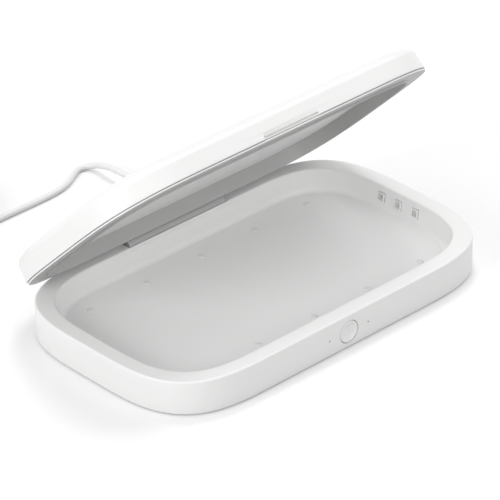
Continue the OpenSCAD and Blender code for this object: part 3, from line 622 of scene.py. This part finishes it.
def make_prongs():
    """Two flat blades with rounded edges and a hole near the tip of each."""
    hole_in, hole_r, edge = 4, 1.5, 0.3
    x1 = ADAPTER_X - ADAPTER_L
    z0, z1 = (ADAPTER_H - PRONG_H) / 2, (ADAPTER_H + PRONG_H) / 2
    blades = []
    for s in (-1, 1):
        y = CORD_LANE_Y + s * PRONG_GAP / 2
        blade = block(f"blade_{s}", (x1 - PRONG_L, y - PRONG_T / 2, z0), (x1, y + PRONG_T / 2, z1),
                      edge)
        hole = rod_y("hole", x1 - PRONG_L + hole_in, ADAPTER_H / 2, y - 2, y + 2, hole_r, 32)
        blades.append(boolean(blade, [hole]))
    return smooth(join("adapter_blades", blades), 35)


cord, cord_length = make_cord()
dress(cord, cord_white, "base", "cord_white", "power_cord", "cord_coil")
plug = dress(make_plug(), cord_white, "base", "cord_white", "cord_plug")
relief = turned_along("strain_relief", ribbed_taper(RELIEF_L, RELIEF_R, RELIEF_END_R, 5, 11),
                      (0, 1, 0), (SOCKET_X, PLUG_Y + PLUG_L, SOCKET_Z))
dress(relief, cord_white, "base", "cord_white", "plug_relief")
tie = dress(make_tie(), tie_strap, "base", "tie_strap", "cord_tie")
far_relief = turned_along("adapter_strain_relief",
                          ribbed_taper(ADAPTER_RELIEF_L, ADAPTER_RELIEF_R, RELIEF_END_R, 3, 8),
                          (1, 0, 0), (ADAPTER_X, CORD_LANE_Y, WOUND_TOP_Z))
dress(far_relief, cord_white, "base", "cord_white", "adapter_relief")
adapter = dress(make_adapter(), adapter_plastic, "base", "adapter_plastic", "power_adapter")
prongs = dress(make_prongs(), brass_metal, "base", "brass_metal", "adapter_prongs")


# ---------------------------------------------------------------- the base
def wall_in(z):
    """How far inside the outline the well's leaning wall is at height z."""
    return RIM_W + WELL_LEAN * (WELL_TOP_Z - z) / (WELL_TOP_Z - WELL_FOOT_Z)


def lamp_place(side, i):
    """Where lamp i of an end wall sits: +X out through the wall."""
    place = Matrix.Translation(Vector((BASE_L / 2 - wall_in(LAMP_Z) + WELL_T, 0, LAMP_Z)) * MM)
    place = place @ Matrix.Rotation(WELL_ANGLE, 4, "Y")
    place = place @ Matrix.Translation(Vector((0, (i - (LAMP_COUNT - 1) / 2) * LAMP_STEP, 0)) * MM)
    return place if side > 0 else Matrix.Rotation(math.pi, 4, "Z") @ place


def hinge_room():
    """The room that the hinge block turns in, as cutters."""
    return [cylinder_x("room", TROUGH_R, TROUGH_L, HINGE_Y, HINGE_Z),
            block("room_top", (-TROUGH_L / 2, HINGE_Y - TROUGH_R, HINGE_Z),
                  (TROUGH_L / 2, HINGE_Y + TROUGH_R, BASE_H + 1))]


def make_trough():
    """The solid that the trough under the hinge block is cut from."""
    wall = 0.8
    outer = cylinder_x("trough", TROUGH_R + wall, TROUGH_L + 2 * wall, HINGE_Y, HINGE_Z)
    keep = block("keep", (-BASE_L / 2, BACK_Y - wall_in(LEDGE_Z), HINGE_Z - TROUGH_R - 2),
                 (BASE_L / 2, BACK_Y - SHELL_T / 2, LEDGE_Z + RIM_T / 2))
    return boolean(outer, [keep], "INTERSECT")


def housing_rows():
    """The housing's section: under the well, up the outer wall, over the rim, down into the well."""
    foot, top, flat = 1.2, 0.8, 0.6
    outer_foot = wall_in(WELL_FOOT_Z) - WELL_T
    under_w, under_h = PLATE_IN - outer_foot, WELL_FOOT_Z - WELL_UNDER_Z
    rows = round_rows(outer_foot + under_w, WELL_FOOT_Z, under_w, -under_h, 90, 0, 6)
    rows += [(wall_in(LEDGE_Z) - WELL_T, LEDGE_Z), (SHELL_T, LEDGE_Z), (SHELL_T, FOOT_GAP)]
    rows += [(foot * (1 - math.sin(a)), FOOT_GAP + foot * (1 - math.cos(a)))
             for a in angles(0, 90, 6)]
    rows += [(0, z) for z in (5, 9, 13)]
    rows += round_rows(top, BASE_H - top, top, top, 0, 90, 8)
    rows += [(top + flat, BASE_H), (RIM_W - RIM_ROUND - flat, BASE_H)]
    rows += [(RIM_W - RIM_ROUND + RIM_ROUND * math.sin(a), WELL_TOP_Z + RIM_ROUND * math.cos(a))
             for a in angles(0, 90, 8)]
    rows += [(wall_in(z), z) for z in (15, 13, 11)]
    rows += round_rows(PLATE_IN, WELL_FOOT_Z, WELL_ROUND_W, -WELL_ROUND_H, 0, 90, 10)
    return rows + [(PLATE_IN, PLATE_SEAT_Z)]


def housing_holes():
    """Cutters for the button, the indicators, the socket and the lamps' windows."""
    past = 1
    front = (FRONT_Y - past, FRONT_Y + SHELL_T + past)
    holes = [rod_y("button_hole", 0, BUTTON_Z, *front, BUTTON_D / 2 + BUTTON_GAP, 96)]
    holes += [rod_y("pinhole", s * INDICATOR_X, BUTTON_Z, *front, INDICATOR_D / 2, 32)
              for s in (-1, 1)]
    holes.append(slot_y("socket_hole", SOCKET_X, SOCKET_Z, SOCKET_W + 0.2, SOCKET_H + 0.2,
                        BACK_Y - SHELL_T - past, BACK_Y + past))
    half, corner = WINDOW_W / 2, 0.35
    for side in (-1, 1):
        for i in range(LAMP_COUNT):
            window = block("window", (-3 * WELL_T, -half, -half), (2 * WELL_T, half, half), corner)
            holes.append(move(window, lamp_place(side, i)))
    return holes


def make_housing():
    """Outer wall, rim and well in one moulding, open underneath."""
    housing = moulding("base_body", housing_rows())
    boolean(housing, [make_trough()], "UNION")
    boolean(housing, hinge_room() + housing_holes())
    return smooth(soften(housing))


def make_plate():
    """The plate on the well's floor, with a small round at its edge."""
    edge, gap = 0.15, 0.05
    inset = PLATE_IN + gap
    rows = [(inset, PLATE_SEAT_Z), (inset, PLATE_Z - edge)]
    rows += round_rows(inset + edge, PLATE_Z - edge, edge, edge, 0, 90, 4)
    return smooth(moulding("well_plate", rows), 50)


def make_nubs():
    """Low silicone domes in two rows on the plate."""
    profile = [(NUB_R * math.cos(a) ** 0.7, NUB_H * math.sin(a)) for a in angles(0, 90, 8)[:-1]]
    profile = [(0, 0)] + profile + [(0, NUB_H)]
    nubs = []
    for i in range(NUB_COUNT):
        for s in (-1, 1):
            place = Vector(((i - (NUB_COUNT - 1) / 2) * NUB_STEP, s * NUB_ROWS_APART / 2, PLATE_Z))
            nubs.append(move(lathe("nub", profile, 32), Matrix.Translation(place * MM)))
    return smooth(join("rest_nubs", nubs), 50)


def make_pad():
    """The pad that the box stands on: a sheet with rounded corners, sunk in the base's cover."""
    edge, top_z = 0.2, FOOT_GAP + 0.5
    section = [(sx * (PAD_L / 2 - PAD_CORNER), sy * (PAD_W / 2 - PAD_CORNER),
                math.cos(a), math.sin(a))
               for sx, sy, start in ((1, 1, 0), (-1, 1, 90), (-1, -1, 180), (1, -1, 270))
               for a in angles(start, start + 90, 12)]
    rings = [[(x + (PAD_CORNER - inset) * c, y + (PAD_CORNER - inset) * s, z)
              for x, y, c, s in section] for inset, z in ((edge, 0), (0, edge), (0, top_z))]
    return smooth(skin("rest_pad_sheet", rings), 40)


def make_button():
    """The push button, turned about its own axis: a rim with a step down to a bowl."""
    r, cap_t = BUTTON_D / 2, 2.1
    bowl_r, step, edge = r - 1.15, 0.3, 0.2
    depth = DISH_DEPTH + 1.2
    profile = [(0, depth)]
    profile += [(bowl_r * k / 12, step + (depth - step) * (1 - (k / 12) ** 2)) for k in range(1, 13)]
    profile += [(bowl_r + 0.1, step * 0.6), (bowl_r + 0.2, step * 0.15), (bowl_r + 0.35, 0)]
    profile += [(r - edge + edge * math.sin(a), edge - edge * math.cos(a)) for a in angles(0, 90, 6)]
    profile += [(r, cap_t), (0, cap_t)]
    cap = lathe("push_button", profile, 96)
    move(cap, Matrix.Translation(Vector((0, FRONT_Y, BUTTON_Z)) * MM)
         @ Matrix.Rotation(math.radians(-90), 4, "X"))
    flange_y, flange_t, flange_r, flange_half_h = FRONT_Y + SHELL_T + 0.1, 0.8, 7, 5
    flange = rod_y("flange", 0, BUTTON_Z, flange_y, flange_y + flange_t, flange_r, 64)
    keep = block("keep", (-flange_r - 1, flange_y - 1, BUTTON_Z - flange_half_h),
                 (flange_r + 1, flange_y + 2, BUTTON_Z + flange_half_h))
    boolean(flange, [keep], "INTERSECT")
    stem_y, stem_l, stem_r = flange_y + flange_t, 1, 2
    stem = rod_y("stem", 0, BUTTON_Z, stem_y, stem_y + stem_l, stem_r, 32)
    return smooth(join("push_button_cap", [cap, flange, stem]), 35)


dress(make_housing(), shell_plastic, "base", "shell_plastic", "base_housing")
dress(make_plate(), plate_plastic, "base", "plate_plastic", "floor_plate")
dress(make_nubs(), silicone, "base", "silicone", "phone_nubs")
dress(make_pad(), silicone, "base", "silicone", "rest_pad")
dress(make_button(), button_plastic, "button", "button_plastic", "button_cap")


# ---------------------------------------------------------------- the lamps
def square_bar(name, width, x0, x1, edge):
    """A square bar along X, about a lamp's own axis."""
    return block(name, (x0, -width / 2, -width / 2), (x1, width / 2, width / 2), edge)


def make_lamps(side):
    """Pale ceramic packages under quartz lids, in square frames that stand proud of the wall."""
    back = 0.25
    front = back - LAMP_T
    frame_w, frame_bar, proud = WINDOW_W - 0.5, 0.6, 0.6
    package_wall, hollow = 0.55, 0.7
    frames, packages, emitters = [], [], []
    for i in range(LAMP_COUNT):
        place = lamp_place(side, i)
        surround = square_bar("surround", frame_w, -WELL_T - proud, front, 0.12)
        opening = square_bar("hole", frame_w - 2 * frame_bar, -WELL_T - 2, front + 1, 0.15)
        frames.append(move(boolean(surround, [opening]), place))
        package = square_bar("package", LAMP_W, front, back, 0.12)
        opening = square_bar("hole", LAMP_W - 2 * package_wall, front - 1, front + hollow, 0.15)
        packages.append(move(boolean(package, [opening]), place))
        emitters.append(move(square_bar("emitter", 1.4, front + 0.1, front + 0.75, 0.06), place))
    name = "right" if side > 0 else "left"
    dress(smooth(join(f"lamp_frames_{name}", frames)), shell_plastic, "base", "shell_plastic")
    dress(smooth(join(f"lamp_packages_{name}", packages)), lamp_ceramic, "base", "lamp_ceramic",
          f"uv_leds_{name}")
    dress(smooth(join(f"lamp_emitters_{name}", emitters)), silicone, "base", "lamp_ceramic")


make_lamps(1)
make_lamps(-1)


# ---------------------------------------------------------------- the lid
# The lid is made as it lies closed, and then turned open about the hinge.
LID_POSE = (Matrix.Translation(Vector((0, HINGE_Y, HINGE_Z)) * MM)
            @ Matrix.Rotation(math.radians(-OPEN_ANGLE), 4, "X")
            @ Matrix.Translation(Vector((0, -HINGE_Y, -HINGE_Z)) * MM))


def roof_rows(inset, run, rise, turns):
    """Rows of the lid's roof, which is steep at the wall and level at the top."""
    return [(inset + run * (1 - math.sqrt(max(math.cos(a), 0))),
             LID_WALL_Z + rise * math.sin(a)) for a in turns]


def faded(section, half):
    """A cutter along X that runs out to nothing at both ends of the front wall."""
    fade, least = 1.4, 0.02
    rings = []
    for x, shallow in ((-half - fade, True), (-half, False), (half, False), (half + fade, True)):
        rings.append([(x, min(y, FRONT_Y - least) if shallow else y, z) for y, z in section])
    return skin("faded_cut", rings)


def finger_recess():
    """In the lid's front edge: a scoop, the slit at its foot and a bevel under the slit."""
    slit_z, slit_h = LID_EDGE_Z + NOTCH_H, 0.8
    slit = slot_y("slit", 0, slit_z, NOTCH_L, slit_h, FRONT_Y - 1, FRONT_Y + LID_T - 0.1)
    half = NOTCH_L / 2 - 1
    front, under_z = FRONT_Y - 1, LID_EDGE_Z - 0.3
    scoop = [(front, slit_z), (FRONT_Y + SCOOP_D, slit_z), (FRONT_Y + SCOOP_D, slit_z + 0.2),
             (FRONT_Y, slit_z + SCOOP_H), (front, slit_z + SCOOP_H)]
    bevel = [(front, under_z), (FRONT_Y + LID_LIP_T - 0.1, under_z),
             (FRONT_Y + LID_LIP_T - 0.15, LID_EDGE_Z), (FRONT_Y + 0.2, slit_z), (front, slit_z)]
    return [slit, faded(scoop, half), faded(bevel, half)]


def make_lid_shell():
    """The cover: a wall with a slight draft under a low roof, open underneath."""
    edge, chamfer = 0.25, 0.1
    rows = roof_rows(LID_DRAFT + LID_T, ROOF_RUN - 1, ROOF_RISE - LID_T, angles(90, 0, 10))
    rows += [(LID_T, LINER_TOP_Z), (LID_LIP_T, LINER_TOP_Z)]
    rows += [(LID_LIP_T, LID_EDGE_Z + chamfer), (LID_LIP_T - chamfer, LID_EDGE_Z)]
    rows += [(edge - edge * math.sin(a), LID_EDGE_Z + edge - edge * math.cos(a))
             for a in angles(0, 90, 4)]
    wall = LID_WALL_Z - LID_EDGE_Z
    rows += [(LID_DRAFT * k / 4, LID_EDGE_Z + wall * k / 4) for k in range(1, 4)]
    rows += roof_rows(LID_DRAFT, ROOF_RUN, ROOF_RISE, angles(0, 90, 30))
    shell = boolean(moulding("lid_cover", rows), finger_recess())
    return smooth(soften(move(shell, LID_POSE), 0.1))


def liner_rows():
    """The liner's section: hollow, lip, ring with a groove under the cover's edge, crown."""
    lip_r, ring_r, chamfer = 0.3, 0.2, 0.05
    hollow_in, crown_in = LIP_IN + LIP_T + 0.25, LIP_IN - 0.5
    crown_z = CEILING_Z + WELL_FLOOR_T
    rows = round_rows(hollow_in + HOLLOW_ROUND, CEILING_Z - HOLLOW_ROUND,
                      HOLLOW_ROUND, HOLLOW_ROUND, 90, 0, 6)
    rows += [(LIP_IN + LIP_T - lip_r + lip_r * math.cos(a), LIP_Z + lip_r - lip_r * math.sin(a))
             for a in angles(0, 90, 4)]
    rows += [(LIP_IN + lip_r - lip_r * math.sin(a), LIP_Z + lip_r - lip_r * math.cos(a))
             for a in angles(0, 90, 4)]
    rows += [(LIP_IN, RING_Z)]
    rows += [(RING_IN + ring_r - ring_r * math.sin(a), RING_Z + ring_r - ring_r * math.cos(a))
             for a in angles(0, 90, 3)]
    rows += [(RING_IN, GROOVE_Z - chamfer), (RING_IN + chamfer, GROOVE_Z), (LINER_OUT, GROOVE_Z)]
    rows += [(LINER_OUT, LINER_TOP_Z), (crown_in, LINER_TOP_Z)]
    rows += round_rows(crown_in + LINER_ROUND, crown_z - LINER_ROUND, LINER_ROUND, LINER_ROUND,
                       0, 90, 5)
    return rows


def paint_liner(liner):
    """Painted shade: grey on the liner and a lighter painted shade on its ceiling, with the cover's
    white on the ring's outer edge.
    """
    for material in (inner_plastic, ceiling_painted_shade, shell_plastic):
        liner.data.materials.append(material)
    for face in liner.data.polygons:
        z = face.center.z / MM
        if face.normal.z < -0.9 and abs(z - CEILING_Z) < 0.05:
            face.material_index = 1
        elif RING_Z + 0.05 < z < GROOVE_Z - 0.02:
            face.material_index = 2


def make_liner():
    """Ring, lip and hollow in one moulding, with a notch and a shelf for the hinge block."""
    liner = moulding("lid_inner", liner_rows())
    notch_y = BACK_Y - LIP_IN + 1
    notch = block("notch", (-BLOCK_L / 2 - 0.2, notch_y, RING_Z - 1),
                  (BLOCK_L / 2 + 0.2, notch_y + 12, LINER_TOP_Z + 0.1))
    base_space = block("base_space", (-BASE_L / 2, HINGE_Y - 8, 0),
                       (BASE_L / 2, HINGE_Y + 12, RING_Z))
    move(base_space, LID_POSE.inverted())
    boolean(liner, [notch, base_space])
    shelf_z, shelf_t = HINGE_Z + 4.1, 1.2
    shelf = block("shelf", (-BLOCK_L / 2, BACK_Y - LIP_IN + 0.2, shelf_z),
                  (BLOCK_L / 2, HINGE_Y + 0.5, shelf_z + shelf_t))
    boolean(liner, [shelf], "UNION")
    paint_liner(liner)
    return smooth(soften(move(liner, LID_POSE), 0.1))


dress(make_lid_shell(), shell_plastic, "lid", "shell_plastic", "lid_shell")
dress(make_liner(), None, "lid", "inner_plastic", "lid_liner")


# ---------------------------------------------------------------- pieces kept from the solids
# The lid's hinge block takes the liner's grey, which is painted shade.
KEPT = {
    "base_cover": shell_plastic, "lid_hinge_block": inner_plastic, "base_screws": steel,
    "charging_coil": copper, "ferrite_plate": ferrite, "main_board": circuit_board,
    "board_parts": chip, "flat_cables": flat_cable, "uv_board_right": circuit_board,
    "uv_board_left": circuit_board, "uv_windows_right": lamp_glass, "uv_windows_left": lamp_glass,
    "switch_plunger": chip, "tact_switch": steel, "button_board": circuit_board,
    "status_leds": lamp_ceramic, "light_pipes": clear_plastic, "hall_sensor": chip,
    "power_socket": steel, "socket_board": circuit_board, "hinge_pins": steel,
    "torque_sleeves": brass_metal, "hinge_screws": steel, "lid_magnet": steel, "plug_tip": steel,
}
for node, material in KEPT.items():
    NODES[node].data.materials.clear()
    NODES[node].data.materials.append(material)
    smooth(NODES[node])


# ---------------------------------------------------------------- stage and light
def seen(tree):
    """1 for the rays that see the background: from the camera, off gloss and through glass."""
    path = tree.nodes.new("ShaderNodeLightPath")
    either = path.outputs["Is Camera Ray"]
    for kind in ("Is Glossy Ray", "Is Transmission Ray"):
        most = tree.nodes.new("ShaderNodeMath")
        most.operation = "MAXIMUM"
        tree.links.new(either, most.inputs[0])
        tree.links.new(path.outputs[kind], most.inputs[1])
        either = most.outputs[0]
    return either


def diffuse(tree, level):
    """A matte grey of the given level."""
    node = tree.nodes.new("ShaderNodeBsdfDiffuse")
    node.inputs["Color"].default_value = (level, level, level, 1)
    return node.outputs[0]


def far_glow(tree, near, far):
    """A glow that grows with the distance from the box, as the lamps' light falls off."""
    where = tree.nodes.new("ShaderNodeTexCoord")
    distance = tree.nodes.new("ShaderNodeVectorMath")
    distance.operation = "LENGTH"
    tree.links.new(where.outputs["Object"], distance.inputs[0])
    fade = tree.nodes.new("ShaderNodeMapRange")
    fade.inputs["From Min"].default_value = 0.2
    fade.inputs["From Max"].default_value = 1.2
    fade.inputs["To Min"].default_value = near
    fade.inputs["To Max"].default_value = far
    tree.links.new(distance.outputs["Value"], fade.inputs["Value"])
    return fade.outputs["Result"]


def make_floor(level, seen_level, glow_near, glow_far):
    """A pale floor that keeps soft shadows, lifted to white where it is seen."""
    half = 6
    mesh = bpy.data.meshes.new("floor")
    mesh.from_pydata([(-half, -half, 0), (half, -half, 0), (half, half, 0), (-half, half, 0)], [],
                     [(0, 1, 2, 3)])
    floor = to_object("floor", mesh)
    floor.location.z = -0.02 * MM
    material = bpy.data.materials.new("floor_white")
    material.use_nodes = True
    tree = material.node_tree
    tree.nodes.clear()
    lift = tree.nodes.new("ShaderNodeEmission")
    tree.links.new(far_glow(tree, glow_near, glow_far), lift.inputs["Strength"])
    lifted = tree.nodes.new("ShaderNodeAddShader")
    choose = tree.nodes.new("ShaderNodeMixShader")
    out = tree.nodes.new("ShaderNodeOutputMaterial")
    tree.links.new(diffuse(tree, seen_level), lifted.inputs[0])
    tree.links.new(lift.outputs[0], lifted.inputs[1])
    tree.links.new(seen(tree), choose.inputs[0])
    tree.links.new(diffuse(tree, level), choose.inputs[1])
    tree.links.new(lifted.outputs[0], choose.inputs[2])
    tree.links.new(choose.outputs[0], out.inputs["Surface"])
    mesh.materials.append(material)


def background(tree, level):
    """White light of the given level."""
    node = tree.nodes.new("ShaderNodeBackground")
    node.inputs["Color"].default_value = (1, 1, 1, 1)
    node.inputs["Strength"].default_value = level
    return node.outputs[0]


def make_world(level):
    """Even light of the given level, and plain white where it is seen."""
    world = bpy.data.worlds.new("world")
    bpy.context.scene.world = world
    world.use_nodes = True
    tree = world.node_tree
    tree.nodes.clear()
    choose = tree.nodes.new("ShaderNodeMixShader")
    out = tree.nodes.new("ShaderNodeOutputWorld")
    tree.links.new(seen(tree), choose.inputs[0])
    tree.links.new(background(tree, level), choose.inputs[1])
    tree.links.new(background(tree, 1), choose.inputs[2])
    tree.links.new(choose.outputs[0], out.inputs["Surface"])


def soft_lamp(name, azimuth, elevation, power, size=0.9):
    """A round area lamp that faces the box, from azimuth degrees right of the front."""
    distance = 1.5
    a, e = math.radians(azimuth), math.radians(elevation)
    place = distance * Vector((math.sin(a) * math.cos(e), -math.cos(a) * math.cos(e), math.sin(e)))
    data = bpy.data.lights.new(name, "AREA")
    data.shape = "DISK"
    data.size = size
    data.energy = power
    lamp = bpy.data.objects.new(name, data)
    lamp.location = place
    lamp.rotation_euler = (-place).to_track_quat("-Z", "Y").to_euler()
    bpy.context.scene.collection.objects.link(lamp)


make_floor(level=0.6, seen_level=0.93, glow_near=0.06, glow_far=0.6)
make_world(level=0.53)
soft_lamp("front_lamp", azimuth=0, elevation=30, power=4.3)
soft_lamp("left_lamp", azimuth=-90, elevation=22, power=9.5)
soft_lamp("right_lamp", azimuth=90, elevation=45, power=3)
soft_lamp("back_left_lamp", azimuth=-135, elevation=45, power=1.2)
soft_lamp("back_lamp", azimuth=132, elevation=68, power=5.5, size=0.45)
bpy.context.scene.view_settings.view_transform = "Standard"
